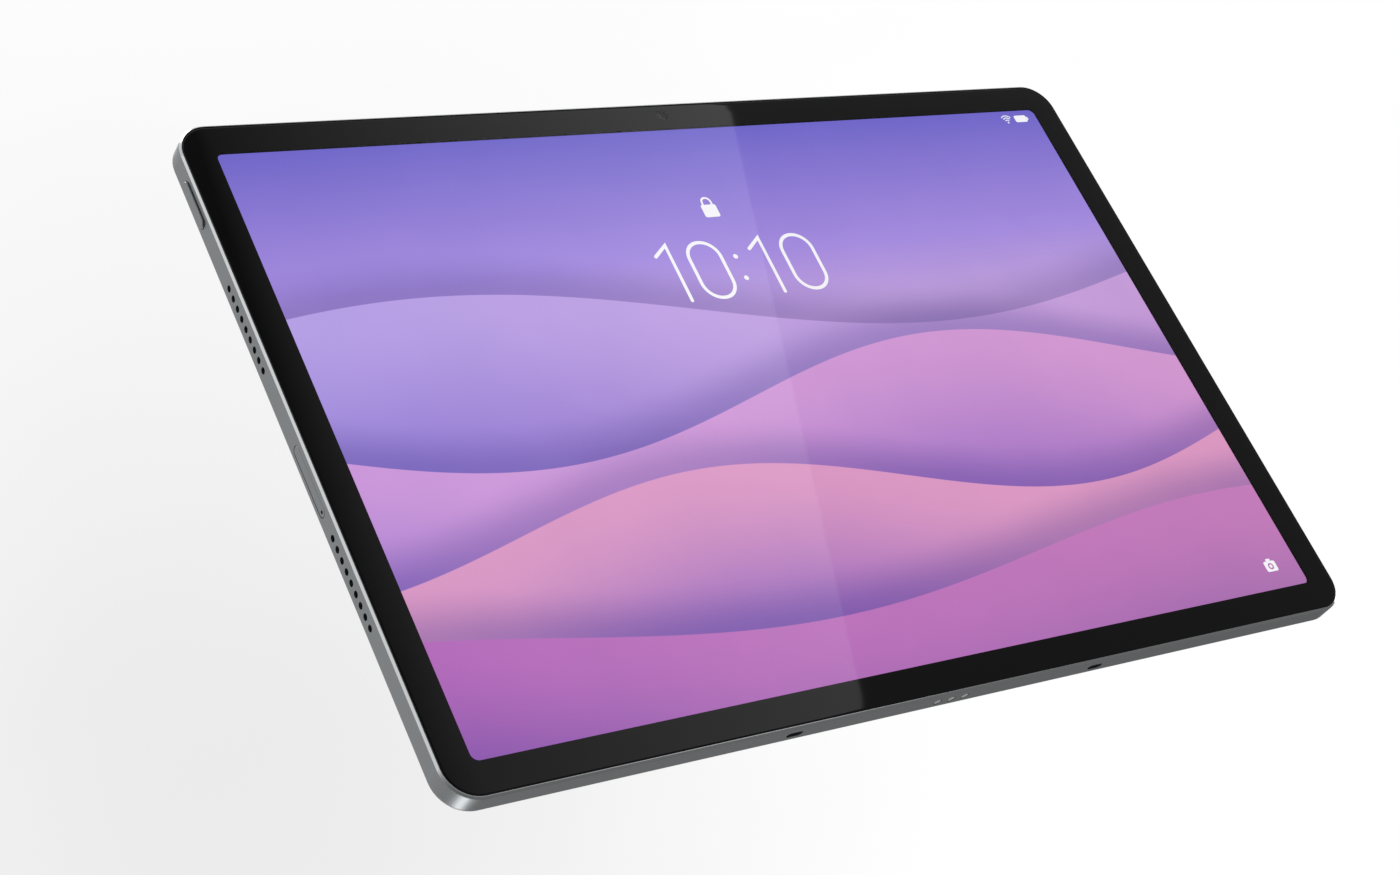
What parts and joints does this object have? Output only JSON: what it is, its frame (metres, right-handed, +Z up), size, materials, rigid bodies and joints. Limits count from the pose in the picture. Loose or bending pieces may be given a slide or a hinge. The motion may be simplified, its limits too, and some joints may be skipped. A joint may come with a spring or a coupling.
{
  "type": "tablet computer",
  "caption": "Thin metal tablet computer with a wide landscape screen, ribbed back band, raised camera plate, side keys, card tray and charging port.",
  "frame": {"origin": "middle of the lower long edge, halfway through the thickness", "axes": "+X to the right seen from the front, +Z up along the short side, the screen faces -Y"},
  "size_m": [0.2923, 0.0089, 0.1896],
  "materials": {
    "housing": "fine bead-blasted and anodised in grey, with a polished chamfer",
    "key_metal": "bead-blasted and anodised in grey",
    "front_glass": "polished, black border printed underneath",
    "adhesive": "black foam tape",
    "dark_plastic": "fine moulded",
    "display_panel": "lit screen with a soft violet picture",
    "light_guide": "clear moulded",
    "flex": "amber polyimide",
    "sheet_steel": "stamped sheet",
    "battery": "laminated pouch",
    "circuit_board": "solder resist",
    "chips": "moulded epoxy",
    "graphite": "graphite film",
    "camera_black": "black anodised",
    "camera_metal": "turned and polished",
    "camera_glass": "polished glass backed in grey",
    "lens_glass": "coated",
    "flash_diffuser": "translucent",
    "flash_emitter": "phosphor coating",
    "seal_rubber": "silicone",
    "speaker_mesh": "woven, blackened",
    "port_steel": "drawn shell",
    "contact_plating": "plated",
    "copper": "wound copper",
    "magnet": "nickel plated",
    "mark_ink": "printed"
  },
  "bodies": {
    "tablet": {"battery_board": "circuit_board", "battery_cell_left": "battery", "battery_cell_right": "battery", "battery_flex": "flex", "board_screws": "sheet_steel", "camera_plate": "camera_glass", "camera_trim": "camera_metal", "card_board": "circuit_board", "card_reader": "sheet_steel", "contact_carrier": "dark_plastic", "cover_glass": "front_glass", "display_backplate": "sheet_steel", "display_carrier": "dark_plastic", "display_flex": "flex", "display_panel": "display_panel", "dock_contacts": "contact_plating", "dock_sockets": "dark_plastic", "flash_led": "flash_emitter", "flash_window": "flash_diffuser", "front_camera": "camera_black", "glass_gasket": "adhesive", "key_flex": "flex", "led_strip": "flex", "lens_cover": "lens_glass", "lens_inner_ring": "camera_metal", "lens_ring": "camera_metal", "lens_seat": "camera_black", "light_guide": "light_guide", "main_board": "circuit_board", "main_chips": "chips", "microphones": "sheet_steel", "pen_coil": "copper", "pen_magnets": "magnet", "pen_mark": "mark_ink", "power_bracket": "sheet_steel", "power_shield": "sheet_steel", "power_switch": "sheet_steel", "processor_shield": "sheet_steel", "rear_camera": "camera_black", "rear_camera_flex": "flex", "rear_housing": "housing", "speaker_lower_left": "dark_plastic", "speaker_lower_right": "dark_plastic", "speaker_meshes": "speaker_mesh", "speaker_upper_left": "dark_plastic", "speaker_upper_right": "dark_plastic", "thermal_sheet": "graphite", "usb_board": "circuit_board", "usb_flex": "flex", "usb_shell": "port_steel", "usb_tongue": "dark_plastic", "volume_bracket": "sheet_steel", "volume_switches": "sheet_steel", "wifi_antenna_left": "flex", "wifi_antenna_right": "flex"},
    "power_button": {"power_button": "key_metal"},
    "volume_rocker": {"volume_rocker": "key_metal"},
    "card_tray": {"card_tray": "key_metal", "tray_seal": "seal_rubber"}
  },
  "joints": [
    {"name": "power_press", "type": "slide", "parent": "tablet", "child": "power_button", "axis": [1, 0, 0], "range_m": [0, 0.0003], "stiffness_N_per_m": 2000, "springref_m": -0.0004},
    {"name": "volume_rock", "type": "hinge", "parent": "tablet", "child": "volume_rocker", "pos_m": [-0.106, 0, 0.1885], "axis": [0, 1, 0], "range_deg": [-1.2, 1.2], "stiffness_Nm_per_rad": 1},
    {"name": "tray_slide", "type": "slide", "parent": "tablet", "child": "card_tray", "axis": [-1, 0, 0], "range_m": [0, 0.018]}
  ]
}
